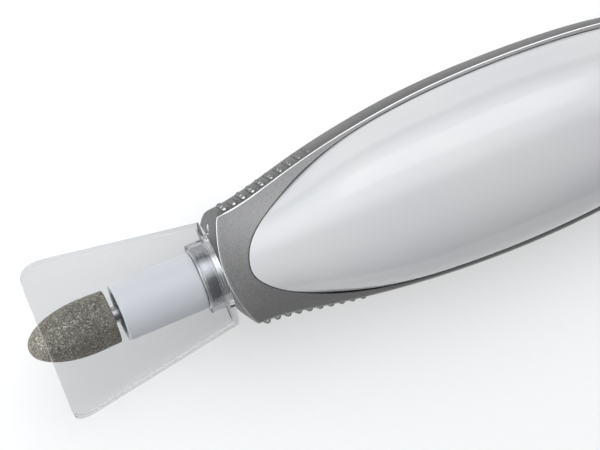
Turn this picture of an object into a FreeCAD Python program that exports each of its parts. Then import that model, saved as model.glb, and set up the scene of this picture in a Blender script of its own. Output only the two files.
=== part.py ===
import FreeCAD, Part
import math
import os
import re
import Sketcher

# Electric callus remover: a hand-held motor drill that spins an abrasive bit.
# Millimetres. While the parts are made, X is the station behind the bit's tip, Z is the
# height over the spindle axis, and +Z is the side of the control slider. Every finished
# part is then shifted so that the row's origin is under the middle of the object, at the
# height of the flat land that it rests on.

Vector = FreeCAD.Vector
ALONG_X = FreeCAD.Rotation(Vector(0, 1, 0), 90)

SIZES = {
    # overall
    "total_length": 142, "axis_height": 16, "nose": 36, "wall": 2.2,
    # bit
    "bit_length": 15.7, "bit_nose_length": 11.3, "bit_radius": 5.05, "bit_base_radius": 4.9,
    "bit_edge": 0.35, "shank_radius": 1.5, "shank_front": 11, "shank_rear": 38,
    # white sleeve and chrome collar
    "sleeve_front": 17.1, "sleeve_shoulder": 23.9, "sleeve_rear": 32.3, "sleeve_radius": 5.3,
    "sleeve_mouth": 3.8, "sleeve_edge": 0.3,
    "collar_front": 32.4, "collar_band": 32.9, "collar_groove": 35.1, "collar_groove_rear": 35.25,
    "collar_flange": 35.85, "collar_rear": 36.5, "collar_lip_radius": 5.42, "collar_radius": 5.6,
    "collar_groove_radius": 5.3, "collar_rear_radius": 5.5, "collar_flange_radius": 5.74,
    # bearing carrier and its two bushes
    "carrier_radius": 4.2, "carrier_bore": 3.6, "carrier_flange_radius": 5.9,
    "carrier_flange_front": 39.2, "carrier_flange_rear": 41, "carrier_rear": 46.4,
    "bush_length": 4, "rear_bush_front": 42.2, "bush_bore": 2.53,
    # spindle with chuck
    "chuck_front": 19.5, "chuck_rear": 23.8, "chuck_radius": 3.1, "chuck_bore": 1.53,
    "chuck_bore_rear": 38.3, "chuck_slot_rear": 22.9, "chuck_slot": 0.5, "spindle_radius": 2.5,
    "ring_groove_front": 20.9, "ring_groove_rear": 21.7, "ring_groove_radius": 2.65,
    "clip_front": 46.55, "clip_rear": 47.15, "clip_groove_radius": 2.1, "clip_radius": 3.4,
    "spindle_shoulder": 48, "spindle_tail_radius": 1.5, "spindle_rear": 53,
    # coupling
    "coupling_front": 48.2, "coupling_rear": 57.8, "coupling_radius": 3.6,
    "coupling_front_hole": 53.2, "coupling_rear_hole": 53.8,
    # motor
    "motor_front": 60, "motor_rear": 90, "motor_radius": 10.2, "motor_flat": 7.7, "can_wall": 0.8,
    "motor_boss_front": 58.5, "motor_boss_radius": 3, "motor_bush_radius": 2.4,
    "motor_bush_rear": 61.5, "end_cap_rear": 92.4, "end_cap_lip": 88.6, "end_bush_front": 90.6,
    "motor_shaft_radius": 1, "motor_shaft_bore": 1.03, "motor_shaft_front": 54, "motor_shaft_rear": 94,
    "rotor_front": 66, "rotor_rear": 81, "rotor_radius": 6.4, "coil_front": 63.4, "coil_rear": 83.6,
    "magnet_front": 62.5, "magnet_rear": 84, "magnet_inner": 6.8,
    "commutator_front": 84.4, "commutator_rear": 87.6, "commutator_radius": 2.3,
    "brush_width": 2.4,
    # light in the nose
    "light_side": 7.45, "light_height": -1, "lens_radius": 1.1, "lens_front": 36.95,
    "lens_rear": 39.4, "diode_radius": 0.9, "diode_rear": 42.6,
    # top panel and slider
    "edge_rounding": 0.5, "ledge_depth": 1.2, "panel_wall": 1.6, "panel_gap": 0.12,
    "slider_middle": 115.2, "slider_travel": 2.6, "well_half_length": 8.1, "well_half_width": 4.6,
    "well_floor": 11.2, "well_floor_thickness": 0.9, "well_wall": 1.1,
    "cap_half_length": 5.2, "cap_half_width": 3.9, "cap_height": 2.3, "cap_gap": 0.06,
    "stem_half_length": 2, "stem_half_width": 1.5, "stem_bottom": 8.7,
    "lever_half_length": 1.2, "lever_half_width": 0.8, "lever_top": 10.3,
    # electronics
    "board_front": 99.2, "board_rear": 121.8, "board_half_width": 9.8, "board_top": 1.4,
    "board_thickness": 1.2, "switch_half_length": 6.4, "switch_half_width": 3.4, "switch_top": 7.9,
    "switch_slot_depth": 1.3,
    # power socket in the tail
    "jack_height": -2.4, "jack_front": 127, "jack_shoulder": 138.2, "jack_rear": 139.2,
    "jack_half_width": 4.5, "jack_nose_radius": 4, "jack_hole": 2.85, "jack_hole_front": 129.2,
    "pin_radius": 1, "pin_front": 128.4, "pin_rear": 138.6,
    "bezel_front": 138.2, "bezel_floor": 139.2, "bezel_radius": 5.6, "bezel_recess": 4.6,
    # fasteners
    "screw_radius": 1, "screw_head_radius": 1.9, "screw_head_height": 1.3, "screw_head_floor": -8.2,
    "screw_top": 1.2, "boss_radius": 2.6, "boss_joint": -5, "counterbore": 2.2,
    "small_screw_radius": 0.7, "small_head_radius": 1.3, "small_head_height": 0.8,
    "small_screw_top": 2.7, "pad_radius": 1.7,
    # dust shield
    "shield_front": 3, "shield_hub_front": 32.5, "shield_hub_rear": 35, "shield_hub_inner": 5.65,
    "shield_hub_outer": 6.45, "shield_wall_rear": 35.8, "shield_thickness": 0.95,
    "shield_back_radius": 10.1, "shield_back_angle": 78, "shield_half_width": 15.3,
    "shield_crown": 12.4, "shield_hem_height": 1.5, "shield_corner": 6, "shield_bow": 0.7,
}

# Lines of the body: distance behind the nose plane; half-width and height of the chine, the
# edge where the upper face meets the side band; crown of the silver frame; half-width and
# crown of the white panel; half-width of the side band; depth of the belly.
STATIONS = [
    (-4.0, 10.0, 7.2, 8.3, 0, 7.6, 10.5, -10.2),
    (2.0, 10.1, 6.8, 8.5, 0, 8.2, 10.7, -10.8),
    (8.0, 10.7, 5.8, 8.9, 5.4, 9.9, 11.2, -12.0),
    (14.0, 12.0, 4.9, 9.2, 9.0, 11.3, 12.4, -13.4),
    (22.0, 13.7, 3.9, 9.0, 12.2, 12.9, 14.1, -14.9),
    (32.0, 15.3, 3.1, 8.3, 14.4, 14.1, 15.7, -16.0),
    (44.0, 16.5, 2.4, 7.6, 15.7, 14.8, 16.9, -16.5),
    (57.0, 16.9, 2.3, 7.2, 16.05, 14.9, 17.2, -16.6),
    (70.0, 16.4, 2.1, 6.8, 15.5, 14.6, 16.7, -16.4),
    (82.0, 15.1, 1.8, 6.3, 14.1, 13.3, 15.4, -15.6),
    (90.0, 13.4, 1.5, 5.8, 12.0, 11.0, 13.7, -14.3),
    (97.0, 11.1, 1.1, 5.2, 8.0, 7.6, 11.4, -12.3),
    (102.0, 8.8, 0.8, 4.6, 0, 4.6, 9.1, -10.7),
    (105.6, 7.0, 0.5, 3.8, 0, 3.0, 7.3, -9.3),
]
# Plan outline of the white panel: distance behind the nose plane and half-width.
PANEL_TIP = 4.7
PANEL_TAIL = 100.6
PANEL_OUTLINE = [(6.6, 4.2), (11.8, 7.9), (17, 10.4), (23.2, 12.55), (31, 14.3), (44, 15.7), (58, 16.05),
                 (72, 15.4), (84, 13.7), (93, 10.6), (98.6, 5.9)]
# Side outline of the belly cover: distance behind the nose plane and height.
BELLY_LINE = [(3.5, -13), (9, -10), (22, -7.9), (45, -6.9), (70, -6.7), (88, -7.5), (98, -9.3), (104, -12.5)]
NOSE_ARC_RADIUS = 21.7
NOSE_CORNER = 2.3
NOSE_HALF_WIDTH = 10.8
NUB_PITCH = 2.0
NUBS_PER_ROW = 10
NUB_ROWS = 3
NUB_FRONT = 4.6
NUB_RADIUS = 0.62
NUB_STAND = 0.6
NUB_FADE = 0.033
NUB_ROOT = 0.12
SCREW_PLACES = [(60, 10.2), (60, -10.2), (88.5, 8), (88.5, -8)]
SMALL_SCREW_PLACES = [(67, 8.2), (67, -8.2), (82.4, 7.8), (82.4, -7.8)]
RIB_PLACES = [28, 49]
RIB_THICKNESS = 1.6

doc = FreeCAD.newDocument("callus_remover")
sheet = doc.addObject("Spreadsheet::Sheet", "Sizes")
parts = {}


def fill_sheet():
    for row, (alias, value) in enumerate(SIZES.items(), start=1):
        sheet.set(f"A{row}", alias)
        sheet.set(f"B{row}", str(value))
        sheet.setAlias(f"B{row}", alias)
    doc.recompute()


def bound(text):
    """Turn words in a formula into cells of the sheet."""
    return re.sub(r"[a-z][a-z_]*", lambda word: "Sizes." + word.group(), str(text))


def value(text):
    """The number that a formula has now."""
    return eval_formula(str(text))


def eval_formula(text):
    holder = doc.getObject("Formula") or doc.addObject("Part::Box", "Formula")
    holder.setExpression("Placement.Base.x", bound(text))
    holder.recompute()
    return holder.Placement.Base.x


# ---------------------------------------------------------------- building blocks

def keep(name, item):
    """Names a finished part and adds it to those that are handed in."""
    item.Label = name
    parts[name] = item
    return item


def place(item, x, y, z):
    for axis, formula in (("x", x), ("y", y), ("z", z)):
        item.setExpression(f"Placement.Base.{axis}", bound(formula))


def block(name, x, y, z):
    """A box between pairs of formulas."""
    item = doc.addObject("Part::Box", name)
    for side, (low, high) in (("Length", x), ("Width", y), ("Height", z)):
        item.setExpression(side, bound(f"({high}) - ({low})"))
    place(item, x[0], y[0], z[0])
    return item


def rod(name, x, radius, y="0", z="0"):
    """A cylinder along X."""
    item = doc.addObject("Part::Cylinder", name)
    item.Placement = FreeCAD.Placement(Vector(), ALONG_X)
    item.setExpression("Radius", bound(radius))
    item.setExpression("Height", bound(f"({x[1]}) - ({x[0]})"))
    place(item, x[0], y, z)
    return item


def post(name, x, y, z, radius):
    """A cylinder along Z."""
    item = doc.addObject("Part::Cylinder", name)
    item.setExpression("Radius", bound(radius))
    item.setExpression("Height", bound(f"({z[1]}) - ({z[0]})"))
    place(item, x, y, z[0])
    return item


def formed(name, shape):
    item = doc.addObject("Part::Feature", name)
    item.Shape = shape
    return item


def fuse(name, items):
    item = doc.addObject("Part::MultiFuse", name)
    item.Shapes = items
    return item


def common(name, items):
    item = doc.addObject("Part::MultiCommon", name)
    item.Shapes = items
    return item


def group(name, items):
    item = doc.addObject("Part::Compound", name)
    item.Links = items
    return item


def cut(name, base, tools):
    item = doc.addObject("Part::Cut", name)
    item.Base = base
    item.Tool = tools[0] if len(tools) == 1 else fuse(name + "_tools", tools)
    return item


def rounded(name, base, radius, chosen):
    """Fillet the edges of base for which chosen(edge) is true."""
    doc.recompute()
    item = doc.addObject("Part::Fillet", name)
    item.Base = base
    item.Edges = [(number, radius, radius) for number, edge in enumerate(base.Shape.Edges, start=1)
                  if chosen(edge)]
    return item


def turned(name, outline):
    """A body turned about the spindle axis from (station, radius) corners."""
    body = doc.addObject("PartDesign::Body", name)
    plane = next(item for item in body.Origin.OriginFeatures if item.Role == "XZ_Plane")
    sketch = body.newObject("Sketcher::SketchObject", name + "_outline")
    sketch.AttachmentSupport = [(plane, "")]
    sketch.MapMode = "FlatFace"
    corners = [Vector(value(x), value(radius), 0) for x, radius in outline]
    last = len(corners)
    for number, corner in enumerate(corners):
        sketch.addGeometry(Part.LineSegment(corner, corners[(number + 1) % last]), False)
    for number in range(last):
        sketch.addConstraint(Sketcher.Constraint("Coincident", number, 2, (number + 1) % last, 1))
    for number, (x, radius) in enumerate(outline):
        across = sketch.addConstraint(Sketcher.Constraint("DistanceX", -1, 1, number, 1, corners[number].x))
        sketch.setExpression(f"Constraints[{across}]", bound(x))
        if radius == "0":
            sketch.addConstraint(Sketcher.Constraint("PointOnObject", number, 1, -1))
            continue
        up = sketch.addConstraint(Sketcher.Constraint("DistanceY", -1, 1, number, 1, corners[number].y))
        sketch.setExpression(f"Constraints[{up}]", bound(radius))
    turn = body.newObject("PartDesign::Revolution", name + "_turn")
    turn.Profile = sketch
    turn.ReferenceAxis = (sketch, ["H_Axis"])
    turn.Angle = 360
    body.Tip = turn
    return body


def ring(name, front, rear, inner, outer):
    return turned(name, [(front, inner), (front, outer), (rear, outer), (rear, inner)])


def chamfered(body, size, x):
    """Break the outer turned edge of a body at station x."""
    doc.recompute()
    tip = body.Tip
    edges = [f"Edge{number}" for number, edge in enumerate(tip.Shape.Edges, start=1)
             if edge.Closed and abs(edge.BoundBox.Center.x - x) < 0.01]
    widest = max(edges, key=lambda one: tip.Shape.getElement(one).Length)
    chamfer = body.newObject("PartDesign::Fillet", body.Name + "_edge")
    chamfer.Base = (tip, [widest])
    chamfer.Radius = size
    body.Tip = chamfer
    return body


# ---------------------------------------------------------------- outer form of the body

def curve(points):
    spline = Part.BSplineCurve()
    spline.interpolate(points)
    return spline.toShape()


def power(number, exponent):
    return math.copysign(abs(number) ** exponent, number)


def hull_section(station, inset):
    """Closed outline of the body at one station, set in by inset."""
    behind, chine_y, chine_z, crown, _, _, band, belly = station
    x = value("nose") + behind
    chine_y -= inset
    chine_z -= 0.7 * inset
    crown -= inset
    band -= inset
    belly += inset
    waist = chine_z - 5
    upper = [Vector(x, chine_y * side, chine_z + (crown - chine_z) * (1 - side * side))
             for side in (1, 0.75, 0.5, 0.25, 0, -0.25, -0.5, -0.75, -1)]
    shoulder_y = chine_y + 0.75 * (band - chine_y)
    lower = [Vector(x, -chine_y, chine_z), Vector(x, -shoulder_y, chine_z - 1.8)]
    for step in range(13):
        angle = math.pi * step / 12
        lower.append(Vector(x, -band * power(math.cos(angle), 0.8),
                            waist - (waist - belly) * power(math.sin(angle), 0.8)))
    lower += [Vector(x, shoulder_y, chine_z - 1.8), Vector(x, chine_y, chine_z)]
    return Part.Wire([curve(upper), curve(lower)])


def dome_section(station, inset):
    """Closed outline of the white panel's dome at one station, set in by inset."""
    behind, chine_y, chine_z, crown, panel_y, panel_crown, _, _ = station
    x = value("nose") + behind
    half_width = panel_y + 0.3 + 0.9 * max(0, 10 - panel_y)
    edge_z = chine_z + (crown - chine_z) * (1 - (panel_y / chine_y) ** 2) + 0.2
    base = -3
    if panel_y:
        share = (1 - (panel_y / half_width) ** 2.2) ** (1 / 2.2)
        base = min(max((edge_z - panel_crown * share) / (1 - share), -6), 1)
    top = panel_crown - inset
    base -= inset
    half_width -= inset
    outline = []
    for step in range(17):
        angle = math.pi * step / 16
        outline.append(Vector(x, half_width * power(math.cos(angle), 1 / 1.1),
                              base + (top - base) * power(math.sin(angle), 1 / 1.1)))
    return Part.Wire([curve(outline), Part.LineSegment(outline[-1], outline[0]).toShape()])


def lofted(name, section, inset):
    item = doc.addObject("Part::Loft", name)
    item.Sections = [formed(f"{name}_section_{number}", section(station, inset))
                     for number, station in enumerate(STATIONS)]
    item.Solid = True
    return item


def nose_plan(name, inset):
    """Everything behind the nose's curved front face, set in by inset."""
    front = value("nose") - 0.05 + inset
    half_width = NOSE_HALF_WIDTH - inset
    radius = NOSE_ARC_RADIUS - inset
    corner = NOSE_CORNER
    reach = math.sqrt((radius - corner) ** 2 - (half_width - corner) ** 2)
    middle = front + radius
    centre = Vector(middle - reach, half_width - corner, 0)
    toward = (centre - Vector(middle, 0, 0)).normalize()
    tangent = centre + toward * corner
    side = Vector(centre.x, half_width, 0)
    bend = centre + (toward + Vector(0, 1, 0)).normalize() * corner
    opening = Vector(side.x + 3, half_width, 0)
    wide = Vector(opening.x + 12, 40, 0)
    back = Vector(value("total_length") - 0.4 - inset, 40, 0)

    def mirror(point):
        return Vector(point.x, -point.y, 0)

    half = [Part.Arc(tangent, bend, side).toShape(), Part.LineSegment(side, opening).toShape(),
            Part.LineSegment(opening, wide).toShape(), Part.LineSegment(wide, back).toShape()]
    other = [Part.Arc(mirror(tangent), mirror(bend), mirror(side)).toShape(),
             Part.LineSegment(mirror(side), mirror(opening)).toShape(),
             Part.LineSegment(mirror(opening), mirror(wide)).toShape(),
             Part.LineSegment(mirror(wide), mirror(back)).toShape()]
    nose = Part.Arc(mirror(tangent), Vector(front, 0, 0), tangent).toShape()
    tail = Part.LineSegment(back, mirror(back)).toShape()
    outline = Part.Wire(Part.__sortEdges__([nose, tail] + half + other))
    return formed(name, Part.Face(outline).extrude(Vector(0, 0, 80)).translated(Vector(0, 0, -40)))


def panel_prism(name, gap):
    """Everything over the plan outline of the white panel, grown by gap."""
    nose = value("nose")
    line = [Vector(nose + PANEL_TIP, 0, 0)]
    line += [Vector(nose + behind, across, 0) for behind, across in PANEL_OUTLINE]
    line += [Vector(nose + PANEL_TAIL, 0, 0)]
    half = [line[0] - Vector(gap, 0, 0)]
    for before, point, after in zip(line, line[1:], line[2:]):
        along = (after - before).normalize()
        half.append(point + Vector(-along.y, along.x, 0) * gap)
    half.append(line[-1] + Vector(gap, 0, 0))
    other = [Vector(point.x, -point.y, 0) for point in reversed(half[1:-1])]
    loop = Part.BSplineCurve()
    loop.interpolate(Points=half + other, PeriodicFlag=True)
    outline = Part.Face(Part.Wire([loop.toShape()]))
    return formed(name, outline.extrude(Vector(0, 0, 40)).translated(Vector(0, 0, -8)))


def belly_block(name):
    """Everything under the side outline of the belly cover."""
    nose = value("nose")
    line = [Vector(nose + behind, -30, height) for behind, height in BELLY_LINE]
    top = curve(line)
    low_front = Vector(line[0].x, -30, -30)
    low_rear = Vector(line[-1].x, -30, -30)
    outline = Part.Wire([top, Part.LineSegment(line[-1], low_rear).toShape(),
                         Part.LineSegment(low_rear, low_front).toShape(),
                         Part.LineSegment(low_front, line[0]).toShape()])
    return formed(name, Part.Face(outline).extrude(Vector(0, 60, 0)))


def band_half_width(hull, x, z):
    """Half-width of the hull at a station and height, found by a line across it."""
    line = Part.LineSegment(Vector(x, 0, z), Vector(x, 30, z)).toShape()
    return max(vertex.Point.y for vertex in hull.common(line).Vertexes)


def grip_nubs(hull):
    """Rows of small round nubs on each side band, lower towards the rear."""
    for name, side in (("grip_nubs_left", 1), ("grip_nubs_right", -1)):
        nubs = []
        for row in range(NUB_ROWS):
            for number in range(NUBS_PER_ROW):
                behind = NUB_FRONT + NUB_PITCH * number
                height = chine_height(behind) - 1.6 - NUB_PITCH * row
                x = value("nose") + behind
                stand = NUB_STAND - NUB_FADE * number
                flank = band_half_width(hull, x, height)
                centre = Vector(x, side * (flank + stand - NUB_RADIUS), height)
                root = math.degrees(math.asin((NUB_RADIUS - stand - NUB_ROOT) / NUB_RADIUS))
                nubs.append(Part.makeSphere(NUB_RADIUS, centre, Vector(0, side, 0), root, 90))
        keep(name, formed(name + "_form", Part.makeCompound(nubs)))


def chine_height(behind):
    for first, second in zip(STATIONS, STATIONS[1:]):
        if first[0] <= behind <= second[0]:
            share = (behind - first[0]) / (second[0] - first[0])
            return first[2] + share * (second[2] - first[2])
    return STATIONS[-1][2]


def is_upper_edge(edge):
    """True for the chine on both sides and for the upper edge of the nose face."""
    box = edge.BoundBox
    chine = box.XLength > 80 and box.ZMax > 5
    nose_edge = box.XMax < 40 and box.ZMin > 6.5 and box.ZLength < 3
    return chine or nose_edge


def hull_forms():
    """The outer hull, the space inside it, the hull under the panel, and the domes."""
    doc.recompute()
    raw = lofted("hull_loft", hull_section, 0)
    land = block("above_land", ("0", "total_length"), ("-30", "30"), ("0 - axis_height", "30"))
    sharp = common("sharp_hull", [raw, nose_plan("hull_plan", 0), land])
    doc.recompute()
    outer = rounded("hull", sharp, value("edge_rounding"), is_upper_edge)
    space = common("hull_space", [lofted("space_loft", hull_section, value("wall")),
                                  nose_plan("space_plan", value("wall")),
                                  block("above_floor", ("0", "total_length"), ("-30", "30"),
                                        ("wall - axis_height", "30"))])
    doc.recompute()
    floor = formed("panel_floor", raw.Shape.translated(Vector(0, 0, -value("ledge_depth"))))
    dome = lofted("dome", dome_section, 0)
    dome_space = lofted("dome_space", dome_section, value("panel_wall"))
    return outer, space, floor, dome, dome_space


# ---------------------------------------------------------------- housing parts

def main_frame(outer, space, floor, belly):
    """Silver frame: nose face, side bands with nubs, rim round the panel, deck, bosses."""
    recess = cut("panel_recess", panel_prism("recess_prism", value("panel_gap")), [floor])
    shell = cut("frame_shell", cut("frame_skin", cut("frame_blank", outer, [belly]), [space]), [recess])
    ribs = []
    for x in RIB_PLACES:
        for side in (1, -1):
            low, high = sorted((side * 8, side * 18))
            ribs.append(block(f"frame_rib_{x}_{high}", (f"nose + {x}", f"nose + {x + RIB_THICKNESS}"),
                              (str(low), str(high)), ("0", "6")))
    bosses = [post(f"frame_boss_{number}", f"nose + {x}", str(y), ("boss_joint", "5"), "boss_radius")
              for number, (x, y) in enumerate(SCREW_PLACES)]
    pads = [post(f"board_pad_{number}", f"nose + {x}", str(y), ("board_top", "5"), "pad_radius")
            for number, (x, y) in enumerate(SMALL_SCREW_PLACES)]
    seat = rod("nose_seat", ("nose + 0.6", "carrier_flange_front"), "carrier_flange_radius")
    added = common("frame_inside", [fuse("frame_inside_parts", ribs + bosses + pads + [seat]), floor])
    body = fuse("frame_solid", [shell, added])
    holes = [
        rod("collar_seat", ("30", "collar_rear"), "collar_flange_radius + 0.05"),
        rod("carrier_hole", ("30", "50"), "carrier_radius"),
        rod("lens_hole", ("30", "lens_rear"), "lens_radius", "light_side", "light_height"),
        rod("diode_hole", ("lens_rear - 0.1", "diode_rear + 1"), "diode_radius + 0.1", "light_side",
            "light_height"),
        motor_form("motor_room"),
        block("motor_opening", ("motor_front - 0.5", "motor_rear + 3.5"), ("-10.5", "10.5"), ("3", "20")),
        block("switch_window", ("slider_middle - switch_half_length - 1",
                                "slider_middle + switch_half_length + 1"),
              ("-4.2", "4.2"), ("board_top + 0.2", "20")),
        rod("bezel_hole", ("bezel_front - 2", "150"), "bezel_radius", "0", "jack_height"),
        block("jack_room", ("jack_front - 1", "jack_shoulder"),
              ("0 - jack_half_width - 0.1", "jack_half_width + 0.1"),
              ("jack_height - jack_half_width - 0.1", "jack_height + jack_half_width + 0.1")),
    ]
    holes += [post(f"frame_screw_hole_{number}", f"nose + {x}", str(y), ("-20", "screw_top"), "screw_radius")
              for number, (x, y) in enumerate(SCREW_PLACES)]
    holes += [post(f"pad_hole_{number}", f"nose + {x}", str(y), ("0", "small_screw_top"), "small_screw_radius")
              for number, (x, y) in enumerate(SMALL_SCREW_PLACES)]
    return keep("main_frame", cut("frame_cut", body, holes))


def belly_cover(outer, space, belly):
    """White underside with the flat land, screw columns, motor saddles and socket rests."""
    wells = [post(f"counterbore_{number}", f"nose + {x}", str(y), ("-20", "screw_head_floor"), "counterbore")
             for number, (x, y) in enumerate(SCREW_PLACES)]
    shell = cut("belly_shell", cut("belly_wall", common("belly_skin", [outer, belly]), [space]), wells)
    inside = [cut(f"saddle_{x}", block(f"saddle_blank_{x}", (f"nose + {x}", f"nose + {x + RIB_THICKNESS}"),
                                       ("-9.5", "9.5"), ("-20", "-2")), [motor_form(f"saddle_room_{x}")])
              for x in RIB_PLACES]
    inside += [block(f"socket_rest_{number}", (f"jack_front + {x}", f"jack_front + {x + RIB_THICKNESS}"),
                     ("-3", "3"), ("-20", "jack_height - jack_half_width"))
               for number, x in enumerate((1, 5))]
    for number, (x, y) in enumerate(SCREW_PLACES):
        column = post(f"column_{number}", f"nose + {x}", str(y), ("-20", "boss_joint"), "boss_radius + 0.4")
        hole = post(f"column_hole_{number}", f"nose + {x}", str(y), ("-20", "0"), "screw_radius + 0.15")
        inside.append(cut(f"column_cut_{number}", column, [hole, wells[number]]))
    trimmed = [common(f"belly_inside_{number}", [piece, outer]) for number, piece in enumerate(inside)]
    return keep("belly_cover", fuse("belly_solid", [shell] + trimmed))


def stadium(name, half_length, half_width, z):
    """An upright block with round ends at the slider."""
    middle = block(name + "_middle", (f"slider_middle - ({half_length}) + ({half_width})",
                                      f"slider_middle + ({half_length}) - ({half_width})"),
                   (f"0 - ({half_width})", half_width), z)
    ends = [post(f"{name}_end_{side}", f"slider_middle {side} (({half_length}) - ({half_width}))", "0",
                 z, half_width)
            for side in "+-"]
    return fuse(name, [middle] + ends)


def top_cover(floor, dome, dome_space):
    """White teardrop panel with the slider's well."""
    blank = cut("panel_blank", common("panel_form", [dome, panel_prism("panel_plan", 0)]), [floor])
    skin = cut("panel_skin", blank, [dome_space])
    tub = common("well_tub", [stadium("tub", "well_half_length + well_wall", "well_half_width + well_wall",
                                      ("well_floor - well_floor_thickness", "20")), dome])
    well = stadium("well", "well_half_length", "well_half_width", ("well_floor", "20"))
    slot = block("stem_slot", ("slider_middle - slider_travel - stem_half_length - 0.3",
                               "slider_middle + slider_travel + stem_half_length + 0.3"),
                 ("0 - stem_half_width - 0.15", "stem_half_width + 0.15"), ("0", "20"))
    return keep("top_cover", cut("panel_cut", fuse("panel_solid", [skin, tub]), [well, slot]))


def screws(name, places, radius, head_radius, head_height, floor, top):
    """Pan-head screws pointing up, all in one node."""
    items = []
    for number, (x, y) in enumerate(places):
        shank = post(f"{name}_shank_{number}", f"nose + {x}", str(y), (floor, top), radius)
        head = post(f"{name}_head_{number}", f"nose + {x}", str(y),
                    (f"{floor} - {head_height}", floor), head_radius)
        slots = [block(f"{name}_slot_{number}_{turn}", (f"nose + {x - along}", f"nose + {x + along}"),
                       (str(y - across), str(y + across)), ("-20", f"{floor} - {head_height} * 0.4"))
                 for turn, (along, across) in enumerate(((0.8, 0.2), (0.2, 0.8)))]
        items.append(cut(f"{name}_{number}", fuse(f"{name}_blank_{number}", [shank, head]), slots))
    return keep(name, group(name + "_group", items))


# ---------------------------------------------------------------- nose and bit

def nose_parts():
    sleeve = turned("sleeve", [("sleeve_front", "sleeve_mouth"), ("sleeve_front", "sleeve_radius"),
                               ("sleeve_rear", "sleeve_radius"), ("sleeve_rear", "carrier_radius"),
                               ("sleeve_shoulder", "carrier_radius"), ("sleeve_shoulder", "sleeve_mouth")])
    keep("nose_sleeve", chamfered(sleeve, value("sleeve_edge"), value("sleeve_front")))
    keep("collar_ring", turned("collar", [
        ("collar_front", "carrier_radius"), ("collar_front", "collar_lip_radius"),
        ("collar_band", "collar_lip_radius"), ("collar_band", "collar_radius"),
        ("collar_groove", "collar_radius"), ("collar_groove", "collar_groove_radius"),
        ("collar_groove_rear", "collar_groove_radius"), ("collar_groove_rear", "collar_rear_radius"),
        ("collar_flange", "collar_rear_radius"), ("collar_flange", "collar_flange_radius"),
        ("collar_rear", "collar_flange_radius"), ("collar_rear", "carrier_radius")]))
    keep("bearing_carrier", turned("carrier", [
        ("sleeve_shoulder", "carrier_bore"), ("sleeve_shoulder", "carrier_radius"),
        ("carrier_flange_front", "carrier_radius"), ("carrier_flange_front", "carrier_flange_radius"),
        ("carrier_flange_rear", "carrier_flange_radius"), ("carrier_flange_rear", "carrier_radius"),
        ("carrier_rear", "carrier_radius"), ("carrier_rear", "carrier_bore")]))
    keep("front_bush", ring("front_bearing", "sleeve_shoulder", "sleeve_shoulder + bush_length",
                            "bush_bore", "carrier_bore"))
    keep("rear_bush", ring("rear_bearing", "rear_bush_front", "rear_bush_front + bush_length",
                           "bush_bore", "carrier_bore"))


def spindle_parts():
    blank = turned("spindle_blank", [
        ("chuck_front", "chuck_bore"), ("chuck_front", "chuck_radius"),
        ("ring_groove_front", "chuck_radius"), ("ring_groove_front", "ring_groove_radius"),
        ("ring_groove_rear", "ring_groove_radius"), ("ring_groove_rear", "chuck_radius"),
        ("chuck_rear", "chuck_radius"), ("chuck_rear", "spindle_radius"),
        ("clip_front", "spindle_radius"), ("clip_front", "clip_groove_radius"),
        ("clip_rear", "clip_groove_radius"), ("clip_rear", "spindle_radius"),
        ("spindle_shoulder", "spindle_radius"), ("spindle_shoulder", "spindle_tail_radius"),
        ("spindle_rear", "spindle_tail_radius"), ("spindle_rear", "0"),
        ("chuck_bore_rear", "0"), ("chuck_bore_rear", "chuck_bore")])
    slots = [block("chuck_slot_upright", ("chuck_front - 1", "chuck_slot_rear"),
                   ("0 - chuck_slot / 2", "chuck_slot / 2"), ("-4", "4")),
             block("chuck_slot_level", ("chuck_front - 1", "chuck_slot_rear"), ("-4", "4"),
                   ("0 - chuck_slot / 2", "chuck_slot / 2"))]
    keep("spindle", cut("spindle_cut", blank, slots))
    keep("chuck_spring_ring", ring("chuck_ring", "ring_groove_front", "ring_groove_rear",
                                   "ring_groove_radius", "chuck_radius - 0.05"))
    clip = ring("clip_blank", "clip_front", "clip_rear", "clip_groove_radius", "clip_radius")
    gap = block("clip_gap", ("clip_front", "clip_rear"), ("-1.2", "1.2"), ("0", "5"))
    keep("retaining_ring", cut("clip", clip, [gap]))
    keep("drive_coupling", turned("coupling", [
        ("coupling_front", "spindle_tail_radius"), ("coupling_front", "coupling_radius"),
        ("coupling_rear", "coupling_radius"), ("coupling_rear", "motor_shaft_radius"),
        ("coupling_rear_hole", "motor_shaft_radius"), ("coupling_rear_hole", "0"),
        ("coupling_front_hole", "0"), ("coupling_front_hole", "spindle_tail_radius")]))


def bit_parts():
    nose = doc.addObject("Part::Ellipsoid", "bit_nose")
    nose.Placement = FreeCAD.Placement(Vector(), FreeCAD.Rotation(Vector(0, 1, 0), -90))
    nose.setExpression("Radius1", bound("bit_nose_length"))
    nose.setExpression("Radius2", bound("bit_radius"))
    nose.Angle1 = 0
    place(nose, "bit_nose_length", "0", "0")
    barrel = doc.addObject("Part::Cone", "bit_barrel")
    barrel.Placement = FreeCAD.Placement(Vector(), ALONG_X)
    barrel.setExpression("Radius1", bound("bit_radius"))
    barrel.setExpression("Radius2", bound("bit_base_radius"))
    barrel.setExpression("Height", bound("bit_length - bit_nose_length"))
    place(barrel, "bit_nose_length", "0", "0")
    blank = fuse("bit_blank", [nose, barrel])
    soft = rounded("bit_soft", blank, value("bit_edge"), lambda edge: edge.Closed and
                   abs(edge.BoundBox.Center.x - value("bit_length")) < 0.01)
    keep("bit_head", cut("bit_cut", soft, [rod("shank_hole", ("shank_front", "30"), "shank_radius")]))
    keep("bit_shank", chamfered(turned("shank", [("shank_front", "0"), ("shank_front", "shank_radius"),
                                                 ("shank_rear", "shank_radius"), ("shank_rear", "0")]),
                                0.3, value("shank_rear")))


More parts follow.
